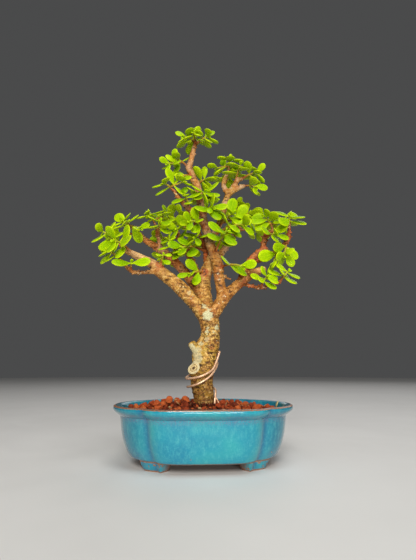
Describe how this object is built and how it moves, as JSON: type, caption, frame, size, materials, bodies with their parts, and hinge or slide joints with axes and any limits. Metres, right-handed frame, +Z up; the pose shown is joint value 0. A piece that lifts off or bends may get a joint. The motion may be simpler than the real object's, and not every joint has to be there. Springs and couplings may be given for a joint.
{
  "type": "dwarf jade bonsai in a glazed pot",
  "caption": "Small succulent tree with a spreading crown of fleshy leaves on a wired trunk, in a low footed oval pot with a lobed outline, filled with coarse red soil.",
  "frame": {"origin": "on the ground under the middle of the whole object's bounding box", "axes": "+Z up the tree, X along the pot's long side with +X to the right seen from the front, front faces -Y"},
  "size_m": [0.192, 0.1334, 0.3146],
  "materials": {
    "glaze": "glossy turquoise glaze, bare brown clay at the rim and feet",
    "soil": "rough chips of red fired clay",
    "bark": "rough tan bark, red-brown on young wood",
    "wire": "copper-coloured anodised",
    "leaf": "smooth glossy fleshy leaves and green shoots",
    "dry_leaf": "dry and pale yellow",
    "screen": "black plastic mesh"
  },
  "bodies": {
    "root": {"pot": "glaze", "soil": "soil", "wood": "bark", "training_wire": "wire", "fallen_leaf": "dry_leaf", "drain_screen_left": "screen", "drain_screen_right": "screen", "spray_apex_left": "leaf", "spray_apex_right": "leaf", "spray_apex_front": "leaf", "spray_shoulder": "leaf", "spray_shoulder_low": "leaf", "spray_leader_left": "leaf", "spray_leader_left_low": "leaf", "spray_leader_rear": "leaf", "spray_leader_front": "leaf", "spray_leader_low": "leaf", "spray_crown_top": "leaf", "spray_crown_mid": "leaf", "spray_crown_right": "leaf", "spray_crown_low": "leaf", "spray_crown_rear": "leaf", "spray_left_mid": "leaf", "spray_left_mid_front": "leaf", "spray_far_left_top": "leaf", "spray_far_left_rear": "leaf", "spray_far_left_outer": "leaf", "spray_far_left_front": "leaf", "spray_knot_twig_tip": "leaf", "spray_knot_leaf": "leaf", "spray_knot_bud": "leaf", "spray_inner_left": "leaf", "spray_inner_left_up": "leaf", "spray_inner_left_low": "leaf", "spray_centre_front": "leaf", "spray_centre_low": "leaf", "spray_centre_right_top": "leaf", "spray_centre_right": "leaf", "spray_centre_right_low": "leaf", "spray_centre_right_outer": "leaf", "spray_bough_top": "leaf", "spray_bough_inner": "leaf", "spray_tip_right": "leaf", "spray_tip_right_hang": "leaf", "spray_bough_hang": "leaf", "spray_low_tip": "leaf", "spray_low_mid": "leaf", "spray_arm_green": "leaf", "spray_front_small": "leaf", "spray_back_left_tip": "leaf", "spray_back_left_out": "leaf", "spray_back_left_in": "leaf", "spray_back_right_tip": "leaf", "spray_back_right_out": "leaf", "spray_back_right_in": "leaf", "spray_leader_back": "leaf", "spray_rear_low_left": "leaf"}
  },
  "joints": []
}
